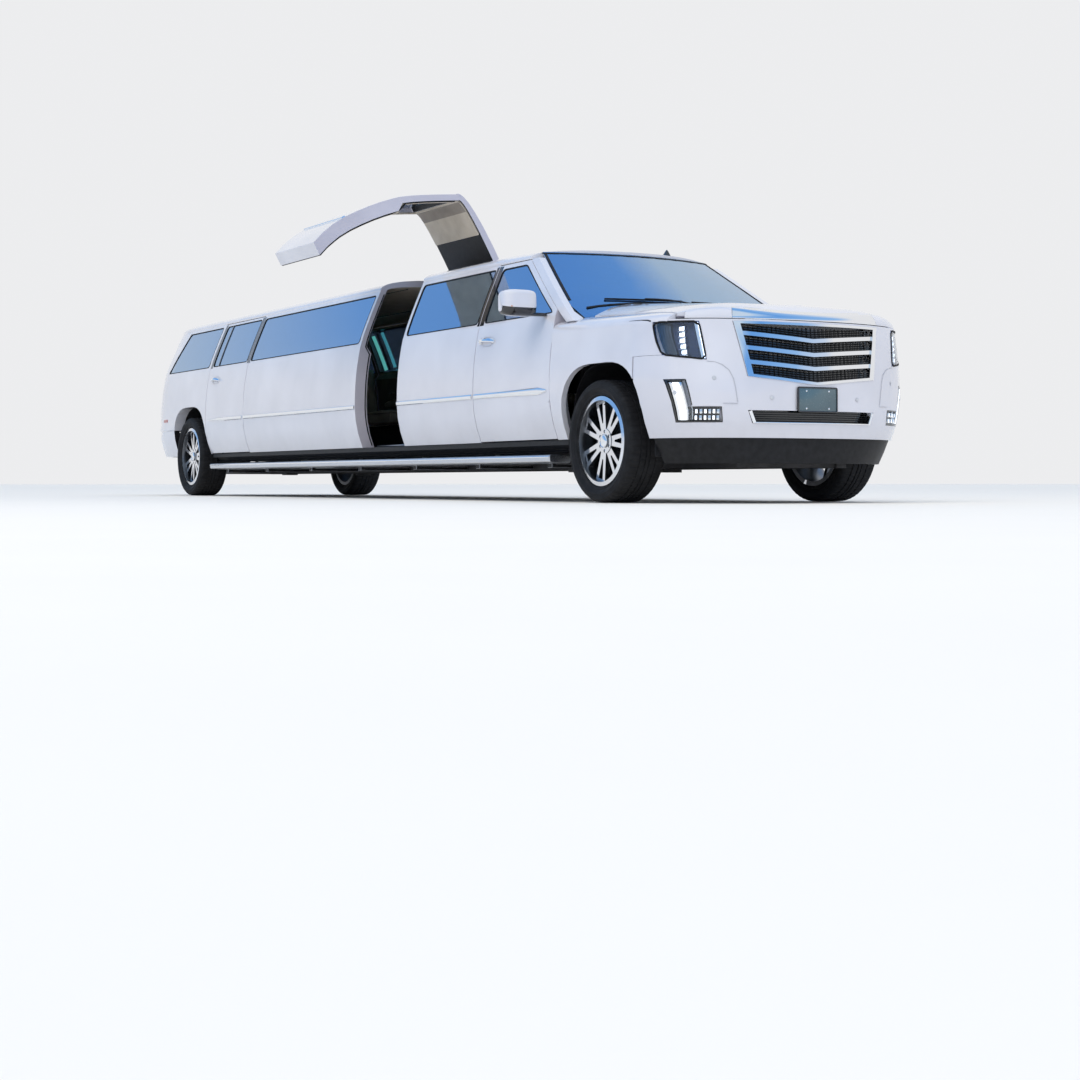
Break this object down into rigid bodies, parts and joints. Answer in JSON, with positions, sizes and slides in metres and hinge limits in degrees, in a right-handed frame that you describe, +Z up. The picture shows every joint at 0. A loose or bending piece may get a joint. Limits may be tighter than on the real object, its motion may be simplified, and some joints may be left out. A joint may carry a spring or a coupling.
{
  "type": "stretch limousine",
  "caption": "Long white utility-based limousine with a roof-hinged side door that stands open, hung doors, hood and tailgate that open, and wheels that steer and turn.",
  "frame": {"origin": "on the floor, on the centre plane, midway between the axles", "axes": "+X to the nose, +Y to the left side, +Z up"},
  "size_m": [10.7855, 3.048, 2.5108],
  "materials": {
    "white_paint": "gloss pearl white paint",
    "tinted_glass": "dark tinted glass",
    "tyre": "black rubber",
    "polished_wheel": "polished aluminium",
    "cream_leather": "cream leather",
    "chrome": "bright chrome",
    "silver_board": "satin aluminium",
    "lamp_lens": "clear lamp lens",
    "red_lens": "red lamp lens",
    "dark_wood": "dark gloss wood",
    "chassis_steel": "black coated steel",
    "black_plastic": "black plastic",
    "carpet": "dark carpet"
  },
  "bodies": {
    "car": {"chassis_frame": "chassis_steel", "floor_pan": "carpet", "bulkhead": "chassis_steel", "rocker_panels": "black_plastic", "running_boards": "silver_board", "wheel_liners": "black_plastic", "fenders": "white_paint", "front_bumper": "white_paint", "front_carrier": "black_plastic", "grille": "chrome", "front_lamps": "lamp_lens", "windscreen": "tinted_glass", "roof": "white_paint", "pillars": "white_paint", "side_front_right": "white_paint", "side_rear_right": "white_paint", "side_left": "white_paint", "quarter_panels": "white_paint", "fixed_glass": "tinted_glass", "tail_lamps": "red_lens", "rear_bumper": "white_paint", "power_unit": "chassis_steel", "exhaust": "chassis_steel", "fuel_tank": "black_plastic", "rear_axle": "chassis_steel", "dashboard": "black_plastic", "front_seats": "cream_leather", "lounge_seats": "cream_leather", "bar_cabinet": "dark_wood"},
    "steer_right": {"knuckle_right": "chassis_steel"},
    "steer_left": {"knuckle_left": "chassis_steel"},
    "wheel_front_right": {"tyre_front_right": "tyre", "rim_front_right": "polished_wheel"},
    "wheel_front_left": {"tyre_front_left": "tyre", "rim_front_left": "polished_wheel"},
    "wheel_rear_right": {"tyre_rear_right": "tyre", "rim_rear_right": "polished_wheel"},
    "wheel_rear_left": {"tyre_rear_left": "tyre", "rim_rear_left": "polished_wheel"},
    "swing_front_right": {"front_door_right": "white_paint", "front_glass_right": "tinted_glass", "mirror_right": "white_paint"},
    "swing_front_left": {"front_door_left": "white_paint", "front_glass_left": "tinted_glass", "mirror_left": "white_paint"},
    "swing_rear_right": {"rear_door_right": "white_paint", "rear_glass_right": "tinted_glass"},
    "swing_rear_left": {"rear_door_left": "white_paint", "rear_glass_left": "tinted_glass"},
    "gull_wing": {"wing_door": "white_paint", "wing_glass": "tinted_glass", "wing_liner": "cream_leather"},
    "hood_lid": {"hood": "white_paint"},
    "tail_lid": {"tailgate": "white_paint", "tailgate_glass": "tinted_glass"}
  },
  "joints": [
    {"name": "steer_right", "type": "hinge", "parent": "car", "child": "steer_right", "pos_m": [4.191, -0.8, 0.408], "axis": [0, 0, 1], "range_deg": [-33, 33]},
    {"name": "steer_left", "type": "hinge", "parent": "car", "child": "steer_left", "pos_m": [4.191, 0.8, 0.408], "axis": [0, 0, 1], "range_deg": [-33, 33]},
    {"name": "spin_front_right", "type": "hinge", "parent": "steer_right", "child": "wheel_front_right", "pos_m": [4.191, -0.8725, 0.408], "axis": [0, 1, 0], "continuous": true},
    {"name": "spin_front_left", "type": "hinge", "parent": "steer_left", "child": "wheel_front_left", "pos_m": [4.191, 0.8725, 0.408], "axis": [0, 1, 0], "continuous": true},
    {"name": "spin_rear_right", "type": "hinge", "parent": "car", "child": "wheel_rear_right", "pos_m": [-4.191, -0.8725, 0.408], "axis": [0, 1, 0], "continuous": true},
    {"name": "spin_rear_left", "type": "hinge", "parent": "car", "child": "wheel_rear_left", "pos_m": [-4.191, 0.8725, 0.408], "axis": [0, 1, 0], "continuous": true},
    {"name": "open_front_right", "type": "hinge", "parent": "car", "child": "swing_front_right", "pos_m": [3.525, -1.01, 0.8], "axis": [0, 0, 1], "range_deg": [0, 65]},
    {"name": "open_rear_right", "type": "hinge", "parent": "car", "child": "swing_rear_right", "pos_m": [-2.567, -1.01, 0.8], "axis": [0, 0, 1], "range_deg": [0, 65]},
    {"name": "open_front_left", "type": "hinge", "parent": "car", "child": "swing_front_left", "pos_m": [3.525, 1.01, 0.8], "axis": [0, 0, -1], "range_deg": [0, 65]},
    {"name": "open_rear_left", "type": "hinge", "parent": "car", "child": "swing_rear_left", "pos_m": [-2.567, 1.01, 0.8], "axis": [0, 0, -1], "range_deg": [0, 65]},
    {"name": "open_gull_wing", "type": "hinge", "parent": "car", "child": "gull_wing", "pos_m": [0.5995, -0.02, 1.889], "axis": [-1, 0, 0], "range_deg": [-62, 0]},
    {"name": "open_hood", "type": "hinge", "parent": "car", "child": "hood_lid", "pos_m": [3.835, 0, 1.36], "axis": [0, -1, 0], "range_deg": [0, 48]},
    {"name": "open_tailgate", "type": "hinge", "parent": "car", "child": "tail_lid", "pos_m": [-5.3467, 0, 1.853], "axis": [0, 1, 0], "range_deg": [0, 80]}
  ],
  "couplings": [
    {"joint": "steer_right", "follows": "steer_left", "ratio": 1}
  ]
}
